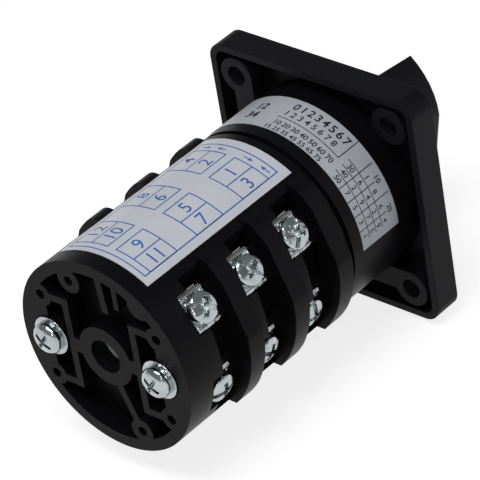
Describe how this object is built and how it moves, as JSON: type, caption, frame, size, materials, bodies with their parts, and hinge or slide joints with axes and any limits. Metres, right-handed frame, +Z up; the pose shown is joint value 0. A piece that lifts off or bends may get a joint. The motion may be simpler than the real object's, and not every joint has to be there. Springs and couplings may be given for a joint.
{
  "type": "rotary changeover switch",
  "caption": "Panel-mount rotary changeover switch: square front plate, pointed handle, round stacked contact body with side screw terminals and rear bolts.",
  "frame": {"origin": "centre of the plate's rear rim plane, on the shaft axis, where the rim lies on the panel", "axes": "+Y back along the shaft through the panel, -Y to the handle, +Z up, +X to the user's right"},
  "size_m": [0.064, 0.1226, 0.064],
  "materials": {
    "body_plastic": "moulded black thermoset, fine satin gloss",
    "plate_plastic": "moulded black plastic, soft satin",
    "handle_plastic": "moulded black plastic, satin",
    "insert_plastic": "white pointer strip",
    "cam_plastic": "natural acetal",
    "slider_plastic": "natural acetal",
    "dial_aluminium": "brushed and anodised",
    "label_foil": "silver foil label with plain rules",
    "label_paper": "pale printed wiring label",
    "zinc_steel": "bright zinc plating",
    "shaft_steel": "drawn steel",
    "spring_steel": "spring wire",
    "contact_brass": "stamped brass",
    "contact_copper": "copper alloy with silvered tips"
  },
  "bodies": {
    "switch_body": {"front_plate": "plate_plastic", "dial_plate": "dial_aluminium", "plate_screws": "zinc_steel", "index_housing": "body_plastic", "rating_label": "label_foil", "front_barrier": "body_plastic", "contact_deck_1": "body_plastic", "contact_deck_2": "body_plastic", "contact_deck_3": "body_plastic", "fixed_contacts_1": "contact_brass", "fixed_contacts_2": "contact_brass", "fixed_contacts_3": "contact_brass", "clamp_plates_1": "zinc_steel", "clamp_plates_2": "zinc_steel", "clamp_plates_3": "zinc_steel", "terminal_screws_1": "zinc_steel", "terminal_screws_2": "zinc_steel", "terminal_screws_3": "zinc_steel", "lock_washers": "zinc_steel", "wiring_label": "label_paper", "through_bolts": "zinc_steel", "bolt_washers": "zinc_steel", "bolt_nuts": "zinc_steel", "upper_contact_springs": "spring_steel", "lower_contact_springs": "spring_steel", "upper_index_spring": "spring_steel", "lower_index_spring": "spring_steel"},
    "rotor": {"shaft": "shaft_steel", "cam_1": "cam_plastic", "cam_2": "cam_plastic", "cam_3": "cam_plastic", "index_wheel": "cam_plastic", "stop_washer": "shaft_steel", "handle": "handle_plastic", "handle_screw": "zinc_steel", "handle_insert": "insert_plastic"},
    "upper_contact_1": {"upper_plunger_1": "slider_plastic", "upper_bridge_1": "contact_copper"},
    "upper_contact_2": {"upper_plunger_2": "slider_plastic", "upper_bridge_2": "contact_copper"},
    "upper_contact_3": {"upper_plunger_3": "slider_plastic", "upper_bridge_3": "contact_copper"},
    "upper_index": {"upper_index_slider": "slider_plastic", "upper_index_roller": "shaft_steel"},
    "lower_contact_1": {"lower_plunger_1": "slider_plastic", "lower_bridge_1": "contact_copper"},
    "lower_contact_2": {"lower_plunger_2": "slider_plastic", "lower_bridge_2": "contact_copper"},
    "lower_contact_3": {"lower_plunger_3": "slider_plastic", "lower_bridge_3": "contact_copper"},
    "lower_index": {"lower_index_slider": "slider_plastic", "lower_index_roller": "shaft_steel"}
  },
  "joints": [
    {"name": "handle_turn", "type": "hinge", "parent": "switch_body", "child": "rotor", "pos_m": [0, 0, 0], "axis": [0, 1, 0], "range_deg": [-60, 60]},
    {"name": "upper_contact_slide_1", "type": "slide", "parent": "switch_body", "child": "upper_contact_1", "axis": [0, 0, 1], "range_m": [-0.0015, 0.0015], "deforming": ["upper_contact_springs"]},
    {"name": "upper_contact_slide_2", "type": "slide", "parent": "switch_body", "child": "upper_contact_2", "axis": [0, 0, 1], "range_m": [-0.0015, 0.0015]},
    {"name": "upper_contact_slide_3", "type": "slide", "parent": "switch_body", "child": "upper_contact_3", "axis": [0, 0, 1], "range_m": [-0.0015, 0.0015]},
    {"name": "lower_contact_slide_1", "type": "slide", "parent": "switch_body", "child": "lower_contact_1", "axis": [0, 0, 1], "range_m": [-0.0015, 0.0015], "deforming": ["lower_contact_springs"]},
    {"name": "lower_contact_slide_2", "type": "slide", "parent": "switch_body", "child": "lower_contact_2", "axis": [0, 0, 1], "range_m": [-0.0015, 0.0015]},
    {"name": "lower_contact_slide_3", "type": "slide", "parent": "switch_body", "child": "lower_contact_3", "axis": [0, 0, 1], "range_m": [-0.0015, 0.0015]},
    {"name": "upper_index_slide", "type": "slide", "parent": "switch_body", "child": "upper_index", "axis": [0, 0, -1], "range_m": [0, 0.0016], "deforming": ["upper_index_spring"]},
    {"name": "lower_index_slide", "type": "slide", "parent": "switch_body", "child": "lower_index", "axis": [0, 0, 1], "range_m": [0, 0.0016], "deforming": ["lower_index_spring"]}
  ],
  "couplings": [
    {"joint": "upper_contact_slide_1", "follows": "handle_turn", "m_per_rad": 0.0014323},
    {"joint": "upper_contact_slide_2", "follows": "handle_turn", "m_per_rad": 0.0014323},
    {"joint": "upper_contact_slide_3", "follows": "handle_turn", "m_per_rad": 0.0014323},
    {"joint": "lower_contact_slide_1", "follows": "handle_turn", "m_per_rad": 0.0014323},
    {"joint": "lower_contact_slide_2", "follows": "handle_turn", "m_per_rad": 0.0014323},
    {"joint": "lower_contact_slide_3", "follows": "handle_turn", "m_per_rad": 0.0014323}
  ]
}
